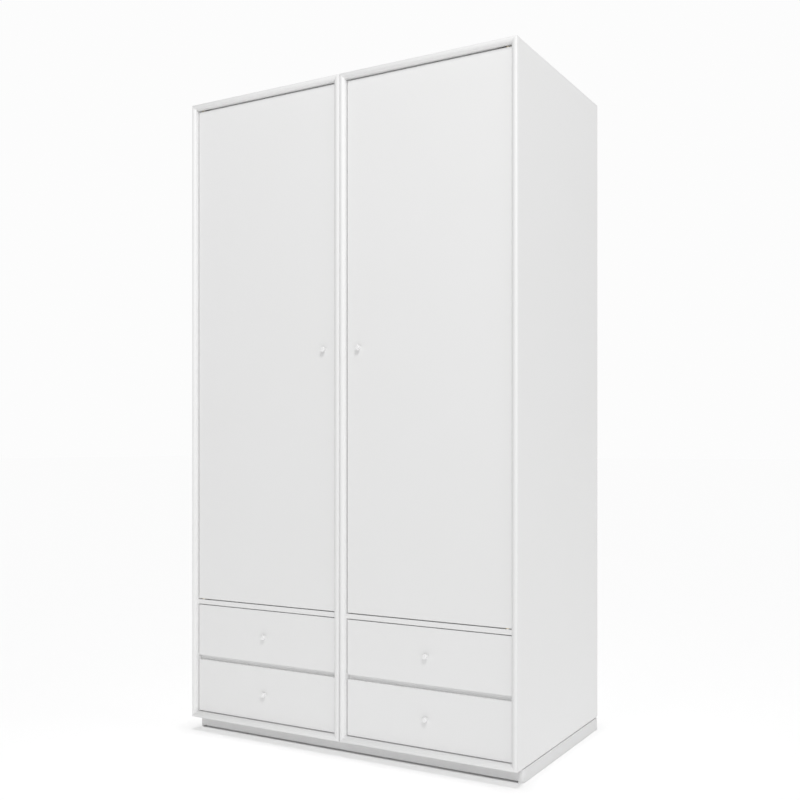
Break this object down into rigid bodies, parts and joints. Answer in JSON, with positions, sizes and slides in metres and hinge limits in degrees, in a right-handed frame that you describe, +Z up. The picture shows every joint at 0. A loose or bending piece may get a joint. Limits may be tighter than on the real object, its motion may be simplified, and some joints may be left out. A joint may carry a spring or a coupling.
{
  "type": "wardrobe with drawers",
  "caption": "Wide wardrobe in white lacquer: tall inset doors on pivot hinges over inset drawers on telescopic runners, with round knobs and a plinth.",
  "frame": {"origin": "on the floor, under the centre of the overall box", "axes": "+X to the right of a person facing the wardrobe, -Y out of the front, +Z up"},
  "size_m": [1.2, 0.6, 2.06],
  "materials": {
    "white_lacquer": "satin white lacquer on fibreboard",
    "plinth_lacquer": "satin white lacquer on fibreboard",
    "drawer_board": "matt white melamine with pale edges",
    "knob_lacquer": "satin white powder coat",
    "zinc_steel": "bright zinc plate",
    "nickel_steel": "nickel plate",
    "chrome_rail": "polished chrome",
    "brass_bush": "turned brass",
    "white_plastic": "moulded, fine grain",
    "grey_plastic": "moulded, fine grain"
  },
  "bodies": {
    "carcass": {"door_catches": "white_plastic", "door_pivots": "nickel_steel", "hanging_rail_sockets": "chrome_rail", "left_back_panel": "white_lacquer", "left_bottom_panel": "white_lacquer", "left_divider_rail": "white_lacquer", "left_drawer_runners": "zinc_steel", "left_fixed_shelf": "white_lacquer", "left_hanging_rail": "chrome_rail", "left_hat_shelf": "white_lacquer", "left_inner_side": "white_lacquer", "left_outer_side": "white_lacquer", "left_top_panel": "white_lacquer", "levelling_feet": "grey_plastic", "module_connectors": "nickel_steel", "plinth_front": "plinth_lacquer", "plinth_left_end": "plinth_lacquer", "plinth_rear": "plinth_lacquer", "plinth_right_end": "plinth_lacquer", "right_back_panel": "white_lacquer", "right_bottom_panel": "white_lacquer", "right_divider_rail": "white_lacquer", "right_drawer_runners": "zinc_steel", "right_fixed_shelf": "white_lacquer", "right_hanging_rail": "chrome_rail", "right_hat_shelf": "white_lacquer", "right_inner_side": "white_lacquer", "right_outer_side": "white_lacquer", "right_top_panel": "white_lacquer", "shelf_pins": "nickel_steel", "wall_brackets": "nickel_steel"},
    "left_door": {"left_door": "white_lacquer", "left_door_knob": "knob_lacquer", "left_door_bushes": "brass_bush", "left_door_strike": "nickel_steel"},
    "left_lower_drawer": {"left_lower_drawer_front": "white_lacquer", "left_lower_drawer_box": "drawer_board", "left_lower_drawer_knob": "knob_lacquer", "left_lower_drawer_slides": "zinc_steel"},
    "left_lower_runner_middle": {"left_lower_middle_slides": "zinc_steel"},
    "left_upper_drawer": {"left_upper_drawer_front": "white_lacquer", "left_upper_drawer_box": "drawer_board", "left_upper_drawer_knob": "knob_lacquer", "left_upper_drawer_slides": "zinc_steel"},
    "left_upper_runner_middle": {"left_upper_middle_slides": "zinc_steel"},
    "right_door": {"right_door": "white_lacquer", "right_door_knob": "knob_lacquer", "right_door_bushes": "brass_bush", "right_door_strike": "nickel_steel"},
    "right_lower_drawer": {"right_lower_drawer_front": "white_lacquer", "right_lower_drawer_box": "drawer_board", "right_lower_drawer_knob": "knob_lacquer", "right_lower_drawer_slides": "zinc_steel"},
    "right_lower_runner_middle": {"right_lower_middle_slides": "zinc_steel"},
    "right_upper_drawer": {"right_upper_drawer_front": "white_lacquer", "right_upper_drawer_box": "drawer_board", "right_upper_drawer_knob": "knob_lacquer", "right_upper_drawer_slides": "zinc_steel"},
    "right_upper_runner_middle": {"right_upper_middle_slides": "zinc_steel"}
  },
  "joints": [
    {"name": "left_door_hinge", "type": "hinge", "parent": "carcass", "child": "left_door", "pos_m": [-0.562, -0.278, 0.432], "axis": [0, 0, -1], "range_deg": [0, 105]},
    {"name": "left_lower_drawer_slide", "type": "slide", "parent": "carcass", "child": "left_lower_drawer", "axis": [0, -1, 0], "range_m": [0, 0.45]},
    {"name": "left_lower_middle_slide", "type": "slide", "parent": "carcass", "child": "left_lower_runner_middle", "axis": [0, -1, 0], "range_m": [0, 0.225]},
    {"name": "left_upper_drawer_slide", "type": "slide", "parent": "carcass", "child": "left_upper_drawer", "axis": [0, -1, 0], "range_m": [0, 0.45]},
    {"name": "left_upper_middle_slide", "type": "slide", "parent": "carcass", "child": "left_upper_runner_middle", "axis": [0, -1, 0], "range_m": [0, 0.225]},
    {"name": "right_door_hinge", "type": "hinge", "parent": "carcass", "child": "right_door", "pos_m": [0.562, -0.278, 0.432], "axis": [0, 0, 1], "range_deg": [0, 105]},
    {"name": "right_lower_drawer_slide", "type": "slide", "parent": "carcass", "child": "right_lower_drawer", "axis": [0, -1, 0], "range_m": [0, 0.45]},
    {"name": "right_lower_middle_slide", "type": "slide", "parent": "carcass", "child": "right_lower_runner_middle", "axis": [0, -1, 0], "range_m": [0, 0.225]},
    {"name": "right_upper_drawer_slide", "type": "slide", "parent": "carcass", "child": "right_upper_drawer", "axis": [0, -1, 0], "range_m": [0, 0.45]},
    {"name": "right_upper_middle_slide", "type": "slide", "parent": "carcass", "child": "right_upper_runner_middle", "axis": [0, -1, 0], "range_m": [0, 0.225]}
  ],
  "couplings": [
    {"joint": "left_lower_middle_slide", "follows": "left_lower_drawer_slide", "ratio": 0.5},
    {"joint": "left_upper_middle_slide", "follows": "left_upper_drawer_slide", "ratio": 0.5},
    {"joint": "right_lower_middle_slide", "follows": "right_lower_drawer_slide", "ratio": 0.5},
    {"joint": "right_upper_middle_slide", "follows": "right_upper_drawer_slide", "ratio": 0.5}
  ]
}
